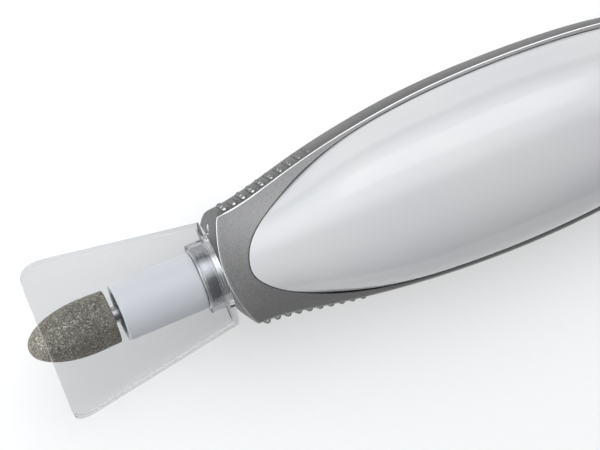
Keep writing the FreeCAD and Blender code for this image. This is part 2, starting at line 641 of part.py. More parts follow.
def shield_section(x, half_width, crown, hem, thickness):
    """A curved strip across the spindle axis at one station, open underneath."""
    middle = (crown ** 2 - hem ** 2 - half_width ** 2) / (2 * (crown - hem))
    radius = crown - middle
    angle = math.atan2(half_width, hem - middle)

    def arc(size):
        ends = [Vector(x, side * size * math.sin(angle), middle + size * math.cos(angle))
                for side in (1, -1)]
        return ends[0], Vector(x, 0, middle + size), ends[1]

    outer = arc(radius)
    inner = arc(radius - thickness)
    return Part.Wire([Part.Arc(*outer).toShape(), Part.LineSegment(outer[2], inner[2]).toShape(),
                      Part.Arc(*reversed(inner)).toShape(), Part.LineSegment(inner[0], outer[0]).toShape()])


def bowed_front(front):
    """Everything behind a slightly bowed front edge, as seen from above."""
    side = value("shield_front")
    corner = Vector(side, 20, -10)
    wide = Vector(60, 20, -10)
    edges = [Part.Arc(Vector(side, -20, -10), Vector(front, 0, -10), corner).toShape(),
             Part.LineSegment(corner, wide).toShape(),
             Part.LineSegment(wide, Vector(60, -20, -10)).toShape(),
             Part.LineSegment(Vector(60, -20, -10), Vector(side, -20, -10)).toShape()]
    return formed("shield_plan", Part.Face(Part.Wire(edges)).extrude(Vector(0, 0, 30)))


def hem_profile(front, rear):
    """Side outline of the hood, with its lower front corner rounded off."""
    corner = value("shield_corner")
    low_front = value("shield_hem_height")
    low_rear = value("shield_back_radius") * math.cos(math.radians(value("shield_back_angle")))
    start = front + 0.3
    drop = (low_rear - low_front) / (rear - start)
    before = Vector(start, -20, low_front + corner)
    after = Vector(start + corner, -20, low_front + corner * drop)
    middle = Vector(start + corner * 0.29, -20, low_front + corner * 0.29 + 0.2 * corner * drop)
    end = Vector(rear, -20, low_rear)
    over = Vector(rear, -20, 25)
    top = Vector(start - 1, -20, 25)
    notch = Vector(start - 1, -20, low_front + corner)
    edges = [Part.Arc(before, middle, after).toShape(), Part.LineSegment(after, end).toShape(),
             Part.LineSegment(end, over).toShape(), Part.LineSegment(over, top).toShape(),
             Part.LineSegment(top, notch).toShape(), Part.LineSegment(notch, before).toShape()]
    return formed("shield_side", Part.Face(Part.Wire(edges)).extrude(Vector(0, 40, 0)))


def dust_shield():
    """Clear fan-shaped hood over the bit, clipped round the collar by its hub."""
    thickness = value("shield_thickness")
    back = value("shield_back_radius")
    angle = math.radians(value("shield_back_angle"))
    front_x = value("shield_front") - value("shield_bow")
    rear_x = value("shield_wall_rear")
    skin = doc.addObject("Part::Loft", "shield_loft")
    skin.Sections = [
        formed("shield_back", shield_section(rear_x, back * math.sin(angle), back,
                                             back * math.cos(angle), thickness)),
        formed("shield_mouth", shield_section(front_x, value("shield_half_width"), value("shield_crown"),
                                              value("shield_hem_height"), thickness))]
    skin.Solid = True
    skin.Ruled = True
    hood = common("shield_hood", [skin, bowed_front(front_x), hem_profile(front_x, rear_x)])
    disc = rod("shield_disc", ("shield_hub_rear - 0.05", "shield_wall_rear"), "shield_back_radius - 0.2")
    wall = common("shield_wall", [disc, block("shield_upper", ("30", "40"), ("-20", "20"),
                                              (str(back * math.cos(angle)), "20"))])
    hub = rod("shield_hub", ("shield_hub_front", "shield_wall_rear"), "shield_hub_outer")
    bore = rod("shield_bore", ("30", "40"), "shield_hub_inner")
    keep("dust_shield", cut("shield_cut", fuse("shield_solid", [hood, wall, hub]), [bore]))


# ---------------------------------------------------------------- motor

def motor_form(name, inset="0", x=("motor_front", "end_cap_rear")):
    """Round motor body with two flats."""
    barrel = rod(name + "_barrel", x, f"motor_radius - {inset}")
    flats = block(name + "_flats", x, ("-20", "20"), (f"{inset} - motor_flat", f"motor_flat - {inset}"))
    return common(name, [barrel, flats])


def motor_parts():
    boss = rod("can_boss", ("motor_boss_front", "motor_front + can_wall"), "motor_boss_radius")
    shell = fuse("can_blank", [motor_form("can_form", "0", ("motor_front", "motor_rear")), boss])
    keep("motor_can", cut("can", shell, [
        motor_form("can_room", "can_wall", ("motor_front + can_wall", "motor_rear + 1")),
        rod("can_bush_hole", ("50", "motor_front + can_wall"), "motor_bush_radius")]))
    front_bush = ring("motor_front_bush", "motor_boss_front", "motor_bush_rear", "motor_shaft_bore",
                      "motor_bush_radius")
    rear_bush = ring("motor_rear_bush", "end_bush_front", "end_cap_rear", "motor_shaft_bore",
                     "motor_bush_radius")
    keep("motor_bushes", group("motor_bush_pair", [front_bush, rear_bush]))
    cap = fuse("end_cap_blank", [motor_form("end_cap_plate", "0", ("motor_rear", "end_cap_rear")),
                                 motor_form("end_cap_plug", "can_wall", ("end_cap_lip", "motor_rear"))])
    room = rod("end_cap_room", ("80", "end_bush_front"), "6")
    bore = rod("end_cap_bore", ("80", "100"), "motor_bush_radius")
    terminal_slots = [block(f"terminal_slot_{y}", ("80", "100"), (str(y - 1), str(y + 1)), ("-5.4", "-4.8"))
                      for y in (-3, 3)]
    keep("motor_end_cap", cut("end_cap", cap, [room, bore] + terminal_slots))
    terminals = [block(f"terminal_{y}", ("end_bush_front", "end_cap_rear + 2.4"), (str(y - 1), str(y + 1)),
                       ("-5.4", "-4.8")) for y in (-3, 3)]
    keep("motor_terminals", group("terminal_pair", terminals))
    magnet_ring = ring("magnet_ring", "magnet_front", "magnet_rear", "magnet_inner",
                       "motor_radius - can_wall")
    sides = [block(f"magnet_side_{side}", ("magnet_front", "magnet_rear"),
                   sorted_pair(side * 4.8, side * 12), ("-6", "6")) for side in (1, -1)]
    keep("motor_magnets", common("magnets", [magnet_ring, fuse("magnet_sides", sides)]))
    keep("motor_shaft", rod("shaft", ("motor_shaft_front", "motor_shaft_rear"), "motor_shaft_radius"))
    rotor_parts()
    brushes = [block(f"brush_{side}", ("commutator_front + 0.6", "commutator_front + 0.6 + brush_width"),
                     sorted_pair(side * (SIZES["commutator_radius"] + 0.05), side * 5.6), ("-0.6", "0.6"))
               for side in (1, -1)]
    keep("motor_brushes", group("brush_pair", brushes))


def sorted_pair(first, second):
    low, high = sorted((first, second))
    return str(low), str(high)


def rotor_parts():
    """Three-pole iron core, its coils and the commutator, all fixed on the shaft."""
    stack = ring("core_blank", "rotor_front", "rotor_rear", "motor_shaft_radius", "rotor_radius")
    slots = []
    for number in range(3):
        turn = FreeCAD.Rotation(Vector(1, 0, 0), 120 * number)
        slot = formed(f"pole_slot_{number}", slot_form(value("rotor_front"), value("rotor_rear")))
        slot.Placement = FreeCAD.Placement(Vector(), turn)
        slots.append(slot)
    keep("rotor_core", cut("core", stack, slots))
    coils = []
    for number in range(3):
        coil = formed(f"coil_{number}", coil_form())
        coil.Placement = FreeCAD.Placement(Vector(), FreeCAD.Rotation(Vector(1, 0, 0), 120 * number + 60))
        coils.append(coil)
    keep("rotor_windings", group("coils", coils))
    keep("commutator", ring("commutator_ring", "commutator_front", "commutator_rear", "motor_shaft_radius",
                            "commutator_radius"))


def slot_form(front, rear):
    """A pole gap: a narrow mouth that widens into a pocket for wire."""
    mouth = Part.makeBox(rear - front + 2, 1.2, 6, Vector(front - 1, -0.6, 2.6))
    pocket = Part.makeBox(rear - front + 2, 4.4, 2.2, Vector(front - 1, -2.2, 2.6))
    return mouth.fuse(pocket)


def coil_form():
    """The winding round one pole: two legs in the gaps, joined over both core ends."""
    front, rear = value("coil_front"), value("coil_rear")
    outer = Part.makeBox(rear - front, 4.8, 2.6, Vector(front, -2.4, 2.2))
    room = Part.makeBox(value("rotor_rear") - value("rotor_front"), 10, 10,
                        Vector(value("rotor_front"), -5, 0))
    return outer.cut(room)


# ---------------------------------------------------------------- controls and electronics

def slider_parts():
    base = "well_floor + cap_gap"
    cap = stadium("cap_blank", "cap_half_length", "cap_half_width", (base, f"{base} + cap_height"))
    doc.recompute()
    top = value(f"{base} + cap_height")
    soft = rounded("cap_soft", cap, 0.5, lambda edge: edge.BoundBox.ZMin > top - 0.01)
    ridges = [block(f"ridge_{number}", (f"slider_middle + {1.3 * number - 0.3}",
                                        f"slider_middle + {1.3 * number + 0.3}"),
                    ("-2.6", "2.6"), (f"{base} + cap_height - 0.2", f"{base} + cap_height + 0.35"))
              for number in (-2, -1, 0, 1, 2)]
    stem = block("stem", ("slider_middle - stem_half_length", "slider_middle + stem_half_length"),
                 ("0 - stem_half_width", "stem_half_width"), ("stem_bottom", base))
    fork = block("stem_fork", ("slider_middle - lever_half_length", "slider_middle + lever_half_length"),
                 ("0 - lever_half_width", "lever_half_width"), ("0", "lever_top"))
    keep("switch_slider", cut("slider", fuse("slider_blank", [soft, stem] + ridges), [fork]))
    keep("switch_lever", block("lever", ("slider_middle - lever_half_length",
                                         "slider_middle + lever_half_length"),
                               ("0 - lever_half_width", "lever_half_width"),
                               ("switch_top - switch_slot_depth + 0.1", "lever_top")))
    case = block("switch_case", ("slider_middle - switch_half_length", "slider_middle + switch_half_length"),
                 ("0 - switch_half_width", "switch_half_width"), ("board_top", "switch_top"))
    slot = block("switch_slot", ("slider_middle - slider_travel - lever_half_length - 0.2",
                                 "slider_middle + slider_travel + lever_half_length + 0.2"),
                 ("0 - lever_half_width - 0.1", "lever_half_width + 0.1"),
                 ("switch_top - switch_slot_depth", "20"))
    keep("switch_body", cut("switch", case, [slot]))


def board_parts():
    board = block("board", ("board_front", "board_rear"), ("0 - board_half_width", "board_half_width"),
                  ("board_top - board_thickness", "board_top"))
    holes = [post(f"board_hole_{number}", f"nose + {x}", str(y), ("-5", "5"), "small_screw_radius")
             for number, (x, y) in enumerate(SMALL_SCREW_PLACES)]
    keep("circuit_board", cut("board_cut", board, holes))
    chips = [block("driver_chip", ("board_front + 2", "board_front + 7"), ("-2", "2"),
                   ("board_top", "board_top + 1.4")),
             block("resistor", ("board_front + 2.5", "board_front + 5.7"), ("-5.6", "-4"),
                   ("board_top", "board_top + 0.6")),
             block("diode_chip", ("board_front + 8", "board_front + 10.6"), ("4.4", "6"),
                   ("board_top", "board_top + 1")),
             post("capacitor", "board_front + 11", "0",
                  ("board_top - board_thickness - 7", "board_top - board_thickness"), "2.5")]
    keep("board_components", group("components", chips))


def light_parts():
    keep("light_window", rod("lens", ("lens_front", "lens_rear"), "lens_radius", "light_side", "light_height"))
    keep("light_diode", rod("diode", ("lens_rear", "diode_rear"), "diode_radius", "light_side", "light_height"))


def socket_parts():
    shell = block("jack_block", ("jack_front", "jack_shoulder"), ("0 - jack_half_width", "jack_half_width"),
                  ("jack_height - jack_half_width", "jack_height + jack_half_width"))
    nose = rod("jack_nose", ("jack_shoulder", "jack_rear"), "jack_nose_radius", "0", "jack_height")
    hole = rod("jack_bore", ("jack_hole_front", "150"), "jack_hole", "0", "jack_height")
    pin_hole = rod("jack_pin_hole", ("pin_front", "150"), "pin_radius", "0", "jack_height")
    keep("power_socket", cut("jack", fuse("jack_solid", [shell, nose]), [hole, pin_hole]))
    keep("socket_pin", rod("pin", ("pin_front", "pin_rear"), "pin_radius", "0", "jack_height"))
    bezel = turned("bezel", [("bezel_front", "jack_nose_radius"), ("bezel_front", "bezel_radius"),
                             ("total_length", "bezel_radius"), ("total_length", "bezel_recess"),
                             ("bezel_floor", "bezel_recess"), ("bezel_floor", "jack_nose_radius")])
    bezel.Placement.Base.z = value("jack_height")
    keep("socket_bezel", bezel)


def lead(name, points, radius=0.42, bend=1.6):
    """A wire along straight runs joined by tangent arcs."""
    corners = [Vector(*point) for point in points]
    edges = []
    start = corners[0]
    for before, corner, after in zip(corners, corners[1:], corners[2:]):
        back = (before - corner).normalize()
        ahead = (after - corner).normalize()
        half = back.getAngle(ahead) / 2
        reach = min(bend / math.tan(half), 0.45 * min((before - corner).Length, (after - corner).Length))
        into = corner + back * reach
        out = corner + ahead * reach
        middle_way = (back + ahead).normalize()
        size = reach * math.tan(half)
        top = corner + middle_way * (reach / math.cos(half) - size)
        edges.append(Part.LineSegment(start, into).toShape())
        edges.append(Part.Arc(into, top, out).toShape())
        start = out
    edges.append(Part.LineSegment(start, corners[-1]).toShape())
    path = Part.Wire(edges)
    first = (corners[1] - corners[0]).normalize()
    section = Part.Wire([Part.Circle(corners[0], first, radius).toShape()])
    return formed(name, path.makePipeShell([section], True, False))


def lead_parts():
    nose = value("nose")
    board = value("board_front")
    under = value("board_top - board_thickness")
    diode = value("diode_rear")
    side = value("light_side")
    keep("light_leads", group("light_pair", [
        lead(f"light_lead_{number}", [
            (diode, side, -1 + lift), (nose + 11, side + 0.5, -1.5 + lift),
            (nose + 20, 10.2, -3 + lift), (nose + 30, 11.6, -3 + lift),
            (nose + 50, 13.0, -3 + lift), (nose + 60, 14.0, -3 + lift),
            (nose + 68, 11.6, -3 + lift), (nose + 71 + number, 8.3, -3 + lift),
            (nose + 71 + number, 8.3, under)])
        for number, lift in enumerate((-0.5, 0.5))]))
    keep("motor_leads", group("motor_pair", [
        lead(f"motor_lead_{y}", [(value("end_cap_rear") + 2.4, y, -5.1), (board + 2, y * 1.2, -5.1),
                                 (board + 2, y * 1.2, under)], bend=1.2)
        for y in (-3, 3)]))
    keep("socket_leads", group("socket_pair", [
        lead(f"socket_lead_{y}", [(value("jack_front"), y, -2.4), (nose + 87, y, -2.8),
                                  (nose + 82, 1.6 * y, -2.8), (nose + 82, 1.6 * y, under)], bend=1.2)
        for y in (-2.6, 2.6)]))


# ---------------------------------------------------------------- whole object

def build():
    fill_sheet()
    outer, space, floor, dome, dome_space = hull_forms()
    belly = belly_block("belly")
    main_frame(outer, space, floor, belly)
    belly_cover(outer, space, belly_block("belly_for_cover"))
    grip_nubs(outer.Shape)
    top_cover(floor, dome, dome_space)
    screws("housing_screws", SCREW_PLACES, "screw_radius", "screw_head_radius", "screw_head_height",
           "screw_head_floor", "screw_top")
    screws("board_screws", SMALL_SCREW_PLACES, "small_screw_radius", "small_head_radius",
           "small_head_height", "board_top - board_thickness", "small_screw_top")
    nose_parts()
    spindle_parts()
    bit_parts()
    dust_shield()
    motor_parts()
    slider_parts()
    board_parts()
    light_parts()
    socket_parts()
    lead_parts()
    doc.recompute()


def place_in_row():
    shift = Vector(-value("total_length") / 2, 0, value("axis_height"))
    for item in parts.values():
        for axis in "xyz":
            item.setExpression(f"Placement.Base.{axis}", None)
        item.Placement.Base = item.Placement.Base + shift


def check():
    for item in doc.Objects:
        if "Invalid" in item.State or "Error" in item.State:
            raise RuntimeError(f"{item.Name} failed: {item.State}")
    for name, item in parts.items():
        shape = item.Shape
        if shape.isNull() or not shape.isValid() or not shape.Solids:
            raise RuntimeError(f"{name} has no valid solid")
        print(f"{name}: {len(shape.Solids)} solids, {shape.Volume:.1f} mm3")


def export():
    os.makedirs("parts", exist_ok=True)
    for name, item in parts.items():
        item.Shape.exportStep(f"parts/{name}.step")


build()
check()
place_in_row()
export()
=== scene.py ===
import math
import bmesh
import bpy
from mathutils import Matrix, Vector, noise


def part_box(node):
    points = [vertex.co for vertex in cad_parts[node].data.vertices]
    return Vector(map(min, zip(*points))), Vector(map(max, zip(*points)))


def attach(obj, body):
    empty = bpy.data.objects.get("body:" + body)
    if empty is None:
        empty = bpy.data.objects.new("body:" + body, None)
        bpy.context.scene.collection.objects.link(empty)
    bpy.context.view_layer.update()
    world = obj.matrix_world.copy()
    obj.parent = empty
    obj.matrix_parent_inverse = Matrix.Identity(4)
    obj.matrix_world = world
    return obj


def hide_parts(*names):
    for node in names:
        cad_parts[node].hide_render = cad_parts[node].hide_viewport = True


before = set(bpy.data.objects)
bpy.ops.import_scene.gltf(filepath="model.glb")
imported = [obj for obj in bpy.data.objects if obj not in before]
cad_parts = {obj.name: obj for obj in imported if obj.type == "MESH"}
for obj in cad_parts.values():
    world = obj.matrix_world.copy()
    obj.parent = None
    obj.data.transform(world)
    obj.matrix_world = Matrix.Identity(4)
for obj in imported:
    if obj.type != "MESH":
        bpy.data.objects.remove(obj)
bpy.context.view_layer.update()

# Electric callus remover: materials, finer pieces for the bit, sleeve and collar, studio and
# camera. Metres, in the row frame of the CAD.

MM = 0.001
collar_low, collar_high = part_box("collar_ring")
AXIS = Vector((0, 0, (collar_low.z + collar_high.z) / 2))
COLLAR_REAR = Vector((collar_high.x, 0, AXIS.z))
BIT_SEGMENTS = 260
TURNED_SEGMENTS = 128
LENS_SEGMENTS = 48
BASE_LIGHT = 0.29
# Each soft light in the surroundings: its direction, the cosines at which it starts and is full,
# and its strength.
LOBES = [((0.06, 0.62, 0.78), 0.70, 0.97, 2.3), ((-0.88, 0.05, 0.47), 0.72, 0.95, 2.2)]


# ---------------------------------------------------------------- node graphs

class Shader:
    """A material's node graph. Lengths are millimetres, sizes are those of one feature."""

    def __init__(self, name):
        self.material = bpy.data.materials.new(name + "_look")
        self.material.use_nodes = True
        self.nodes = self.material.node_tree.nodes
        self.links = self.material.node_tree.links
        self.surface = self.nodes["Principled BSDF"]
        self.place = self.nodes.new("ShaderNodeTexCoord").outputs["Object"]

    def feed(self, socket, value):
        if isinstance(value, bpy.types.NodeSocket):
            self.links.new(value, socket)
        else:
            socket.default_value = value

    def add(self, kind, settings=(), **inputs):
        node = self.nodes.new("ShaderNode" + kind)
        for name, value in settings:
            setattr(node, name, value)
        for name, value in inputs.items():
            self.feed(node.inputs[name.replace("_", " ")], value)
        return node

    def set(self, **inputs):
        for name, value in inputs.items():
            self.feed(self.surface.inputs[name.replace("_", " ")], value)

    def stretched(self, along, across):
        """Coordinates for streaks: the feature size along X, and the size across it."""
        scale = (1000 / along, 1000 / across, 1000 / across)
        return self.add("Mapping", Vector=self.place, Scale=scale).outputs[0]

    def clouds(self, size, detail=3.0, place=None):
        scale = 1.0 if place else 1000 / size
        return self.add("TexNoise", Vector=place or self.place, Scale=scale, Detail=detail).outputs[0]

    def cells(self, size):
        """Random numbers and distances of cells of about that size."""
        node = self.add("TexVoronoi", Vector=self.place, Scale=1000 / size)
        red = self.add("SeparateColor", Color=node.outputs["Color"]).outputs[0]
        return red, node.outputs["Distance"]

    def span(self, value, low, high, to_low=0.0, to_high=1.0):
        return self.add("MapRange", Value=value, From_Min=low, From_Max=high, To_Min=to_low,
                        To_Max=to_high).outputs[0]

    def math(self, operation, first, second):
        node = self.add("Math", [("operation", operation)])
        self.feed(node.inputs[0], first)
        self.feed(node.inputs[1], second)
        return node.outputs[0]

    def mix(self, share, first, second):
        node = self.add("Mix", [("data_type", "RGBA")])
        for socket, value in ((0, share), (6, first), (7, second)):
            self.feed(node.inputs[socket], value)
        return node.outputs[2]

    def edges(self, radius):
        """Rounded normals, and a mask that is 1 on the edges they round."""
        soft = self.add("Bevel", [("samples", 4)], Radius=radius * MM).outputs[0]
        plain = self.nodes.new("ShaderNodeNewGeometry").outputs["Normal"]
        node = self.add("VectorMath", [("operation", "DOT_PRODUCT")])
        self.feed(node.inputs[0], soft)
        self.feed(node.inputs[1], plain)
        return soft, self.span(node.outputs["Value"], 0.995, 0.9)

    def bump(self, height, depth, normal=None):
        node = self.add("Bump", Height=height, Distance=depth * MM, Strength=1.0)
        if normal:
            self.feed(node.inputs["Normal"], normal)
        return node.outputs[0]


def grey(level, warm=0.0):
    return (level * (1 + warm), level, level * (1 - warm), 1)


def silver_paint(name, highlight_slopes, roughness=0.48):
    """Metallic paint: fine flakes, painted shade down the sides and underside, and a painted
    highlight where it faces up between the two given slopes, mostly on the side of the light."""
    s = Shader(name)
    flake, distance = s.cells(0.14)
    cloud = s.clouds(16)
    soft = s.edges(0.3)[0]
    facing = s.add("SeparateXYZ", Vector=s.nodes.new("ShaderNodeNewGeometry").outputs["Normal"])
    sideways, up = facing.outputs["Y"], facing.outputs["Z"]
    low, high = highlight_slopes
    # Painted highlight: lighter, less metallic paint on the slopes that face up, mostly on the +Y side of
    # the light.
    painted_highlight = s.math("MULTIPLY", s.span(up, low, low + 0.12), s.span(up, high, high - 0.12))
    painted_highlight = s.math("MULTIPLY", painted_highlight, s.span(sideways, -0.3, 0.1, 0.25, 1))
    colour = s.mix(s.span(flake, 0.1, 0.9), grey(0.16), grey(0.225, 0.01))
    colour = s.mix(s.span(cloud, 0.35, 0.65, 0, 0.35), colour, (0.19, 0.188, 0.197, 1))
    # Painted shade: the sides and underside, where the surface faces less than halfway up, darker.
    colour = s.mix(s.span(up, 0.5, 0.4, 0, 0.75), colour, grey(0.045))
    colour = s.mix(painted_highlight, colour, grey(0.85))
    rough = s.math("ADD", s.span(cloud, 0.3, 0.7, roughness, roughness + 0.06),
                   s.span(flake, 0, 1, -0.04, 0.04))
    normal = s.bump(s.clouds(0.4, 3), 0.004, s.bump(distance, 0.003, soft))
    s.set(Base_Color=colour, Metallic=s.span(painted_highlight, 0, 1, 0.6, 0.1), Roughness=rough, Normal=normal,
          Coat_Weight=0.12, Coat_Roughness=0.25)
    return s.material


def white_gloss(name):
    """Polished white moulding: slight tint clouds, handling haze, orange peel, a painted highlight along
    the edges.
    """
    s = Shader(name)
    cloud = s.clouds(24)
    haze = s.clouds(6, 5)
    speck, distance = s.cells(1.6)
    soft, edge = s.edges(0.2)
    colour = s.mix(s.span(cloud, 0.3, 0.7), (0.46, 0.465, 0.48, 1), (0.49, 0.49, 0.49, 1))
    dust = s.math("MULTIPLY", s.span(distance, 0.09, 0.03), s.span(speck, 0.9, 0.95, 0, 0.35))
    colour = s.mix(dust, colour, grey(0.5))
    # Painted highlight: the edges made lighter.
    colour = s.mix(s.math("MULTIPLY", edge, 0.4), colour, grey(0.9))
    s.set(Base_Color=colour, Roughness=s.span(haze, 0.35, 0.7, 0.09, 0.17),
          Normal=s.bump(s.clouds(2.2, 1), 0.003, soft),
          Coat_Weight=0.3, Coat_Roughness=s.span(haze, 0.4, 0.7, 0.03, 0.07))
    return s.material


def white_satin(name):
    """Half-matt white tube with faint rings from its mould."""
    s = Shader(name)
    rings = s.clouds(1, 3, s.stretched(0.35, 40))
    cloud = s.clouds(7)
    colour = s.mix(s.span(cloud, 0.3, 0.7), (0.66, 0.67, 0.695, 1), (0.70, 0.71, 0.73, 1))
    s.set(Base_Color=colour, Roughness=s.span(rings, 0.3, 0.7, 0.4, 0.5), Normal=s.bump(rings, 0.0015),
          Coat_Weight=0.1, Coat_Roughness=0.3)
    return s.material


def turned_metal(name, colour, roughness, streak=0.12, depth=0.0015, lengthwise=False):
    """Bare metal with tool marks round X, or drawn lines along it."""
    s = Shader(name)
    lines = s.clouds(1, 4, s.stretched(30, streak) if lengthwise else s.stretched(streak, 30))
    cloud = s.clouds(5)
    soft, edge = s.edges(0.08)
    darker = tuple(channel * 0.82 for channel in colour[:3]) + (1,)
    shade = s.mix(s.span(lines, 0.3, 0.7), darker, colour)
    shade = s.mix(s.math("MULTIPLY", edge, 0.4), shade, grey(0.85))
    rough = s.math("ADD", s.span(lines, 0.3, 0.7, roughness * 0.8, roughness * 1.3),
                   s.span(cloud, 0.4, 0.8, 0, 0.06))
    s.set(Base_Color=shade, Metallic=1.0, Roughness=rough, Normal=s.bump(lines, depth, soft))
    return s.material


def plastic(name, colour, roughness, grain=0.5, depth=0.012):
    """Moulded plastic with a fine grain and slightly rubbed edges."""
    s = Shader(name)
    grit = s.clouds(grain, 3)
    cloud = s.clouds(9)
    soft, edge = s.edges(0.12)
    lighter = tuple(min(1, channel * 1.25 + 0.02) for channel in colour[:3]) + (1,)
    shade = s.mix(s.span(cloud, 0.3, 0.7, 0, 0.5), colour, lighter)
    rubbed = tuple(min(1, channel * 1.4 + 0.04) for channel in colour[:3]) + (1,)
    shade = s.mix(s.math("MULTIPLY", edge, 0.3), shade, rubbed)
    rough = s.math("ADD", s.span(grit, 0.3, 0.7, -0.04, 0.05),
                   s.span(cloud, 0.3, 0.7, roughness, roughness + 0.06))
    s.set(Base_Color=shade, Roughness=rough, Normal=s.bump(grit, depth, soft))
    return s.material


def clear_plastic(name):
    """Clear moulded hood: painted shade greys its edges in place of the light they bend, hairline
    scratches, light passes through it.
    """
    s = Shader(name)
    scratches = s.clouds(1, 6, s.stretched(3, 0.08))
    cloud = s.clouds(11)
    edge = s.edges(0.25)[1]
    # Painted shade: the edges greyer and less clear.
    tint = s.mix(s.math("MULTIPLY", edge, 0.5), (0.70, 0.705, 0.715, 1), (0.62, 0.635, 0.64, 1))
    haze = s.math("ADD", s.span(scratches, 0.6, 0.8, 0, 0.02), s.span(cloud, 0.4, 0.7, 0, 0.01))
    s.set(Base_Color=tint, Transmission_Weight=s.span(edge, 0, 1, 1, 0.5), IOR=1.08, Roughness=haze)
    clear = s.add("BsdfTransparent", Color=(0.90, 0.91, 0.915, 1))
    both = s.add("MixShader")
    s.feed(both.inputs[0], s.add("LightPath").outputs["Is Shadow Ray"])
    s.feed(both.inputs[1], s.surface.outputs[0])
    s.feed(both.inputs[2], clear.outputs[0])
    s.feed(s.nodes["Material Output"].inputs["Surface"], both.outputs[0])
    return s.material


def milky_lens(name):
    s = Shader(name)
    cloud = s.clouds(1.2)
    s.set(Base_Color=s.mix(cloud, (0.80, 0.82, 0.85, 1), (0.92, 0.93, 0.95, 1)), Transmission_Weight=0.35,
          Roughness=s.span(cloud, 0.3, 0.7, 0.15, 0.3), Normal=s.bump(cloud, 0.01))
    return s.material


def abrasive_grit(name):
    """Bonded grit: each grain has its own shade and facet, some of them shiny."""
    s = Shader(name)
    grain, distance = s.cells(0.2)
    spark, gap = s.cells(0.22)
    shiny = s.span(spark, 0.88, 0.92)
    colour = s.mix(s.span(grain, 0.05, 0.95), (0.065, 0.06, 0.048, 1), (0.26, 0.243, 0.202, 1))
    colour = s.mix(s.span(s.clouds(4), 0.35, 0.7, 0, 0.3), colour, (0.13, 0.12, 0.095, 1))
    colour = s.mix(shiny, colour, (0.42, 0.40, 0.35, 1))
    normal = s.bump(distance, 0.02, s.bump(gap, 0.02))
    s.set(Base_Color=colour, Metallic=s.span(shiny, 0, 1, 0.1, 0.6), Normal=normal,
          Roughness=s.span(shiny, 0, 1, 0.62, 0.35))
    return s.material


LOOKS = {
    # The frame's painted highlight lies where it faces up between slopes 0.5 and 0.8.
    "frame_silver": lambda name: silver_paint(name, (0.50, 0.80)),
    "gloss_white": white_gloss,
    "sleeve_white": white_satin,
    "collar_chrome": lambda name: turned_metal(name, grey(0.88), 0.22, 0.12, 0.0003),
    "clear_plastic": clear_plastic,
    "abrasive": abrasive_grit,
    "steel": lambda name: turned_metal(name, grey(0.48), 0.2),
    "spring_steel": lambda name: turned_metal(name, grey(0.42, -0.03), 0.28),
    "bronze": lambda name: turned_metal(name, (0.55, 0.33, 0.14, 1), 0.35),
    "black_plastic": lambda name: plastic(name, (0.022, 0.023, 0.025, 1), 0.42),
    "grey_plastic": lambda name: plastic(name, (0.23, 0.24, 0.25, 1), 0.4),
    "coupling_red": lambda name: plastic(name, (0.42, 0.05, 0.03, 1), 0.5),
    "magnet": lambda name: plastic(name, (0.05, 0.048, 0.047, 1), 0.6, 0.3, 0.02),
    "copper": lambda name: turned_metal(name, (0.80, 0.36, 0.19, 1), 0.25),
    "carbon": lambda name: plastic(name, (0.018, 0.018, 0.019, 1), 0.55, 0.2, 0.02),
    "board_green": lambda name: plastic(name, (0.012, 0.12, 0.045, 1), 0.35, 0.8, 0.01),
    "lead_red": lambda name: plastic(name, (0.45, 0.02, 0.015, 1), 0.45, 0.6, 0.01),
    "lens_clear": milky_lens,
}
looks = {slot: make(slot) for slot, make in LOOKS.items()}
# The nubs: the same paint with a painted highlight dot where each faces up.
nub_look = silver_paint("nub_silver", (0.84, 1.5), 0.24)
for name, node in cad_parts.items():
    for material_slot in node.material_slots:
        slot = material_slot.material.name
        material_slot.material = nub_look if name.startswith("grip_nubs") else looks[slot]


# ---------------------------------------------------------------- turned pieces

def softened(corners, radius, steps=5):
    """An outline of (x, r) corners in mm, with its corners rounded off."""
    points = [Vector(corners[0])]
    for before, corner, after in zip(corners, corners[1:], corners[2:]):
        corner = Vector(corner)
        back, ahead = Vector(before) - corner, Vector(after) - corner
        reach = min(radius, 0.45 * back.length, 0.45 * ahead.length)
        first, last = corner + back.normalized() * reach, corner + ahead.normalized() * reach
        for step in range(steps + 1):
            t = step / steps
            points.append(first * (1 - t) ** 2 + corner * 2 * t * (1 - t) + last * t ** 2)
    points.append(Vector(corners[-1]))
    return points


def lathe(name, outline, segments, shift=None, centre=AXIS):
    """A closed turned mesh round the spindle axis, or a line beside it through centre."""
    bm = bmesh.new()
    rings = []
    for x, r in outline:
        ring = []
        for number in range(segments):
            angle = 2 * math.pi * number / segments
            point = Vector((x * MM, r * MM * math.cos(angle), r * MM * math.sin(angle)))
            if shift:
                point = shift(point)
            ring.append(bm.verts.new(point + centre))
        rings.append(ring)
    for first, second in zip(rings, rings[1:] + rings[:1]):
        for number in range(segments):
            after = (number + 1) % segments
            bm.faces.new((first[number], first[after], second[after], second[number]))
    bmesh.ops.recalc_face_normals(bm, faces=bm.faces)
    mesh = bpy.data.meshes.new(name)
    bm.to_mesh(mesh)
    bm.free()
    mesh.shade_smooth()
    piece = bpy.data.objects.new(name, mesh)
    bpy.context.scene.collection.objects.link(piece)
    return piece


def dressed(piece, body, node, slot):
    piece.data.materials.append(looks[slot])
    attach(piece, body)
    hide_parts(node)


def grit_shift(point):
    """Grains stand out by up to the CAD surface; the bond between them lies lower."""
    around = Vector((0, point.y, point.z))
    if around.length < 1e-6:
        return point
    distance = noise.voronoi(point * 4200)[0][0]
    low = 0.06 * MM * min(1, distance * 1.15) + 0.03 * MM * abs(noise.noise(point * 900))
    return point - around.normalized() * low


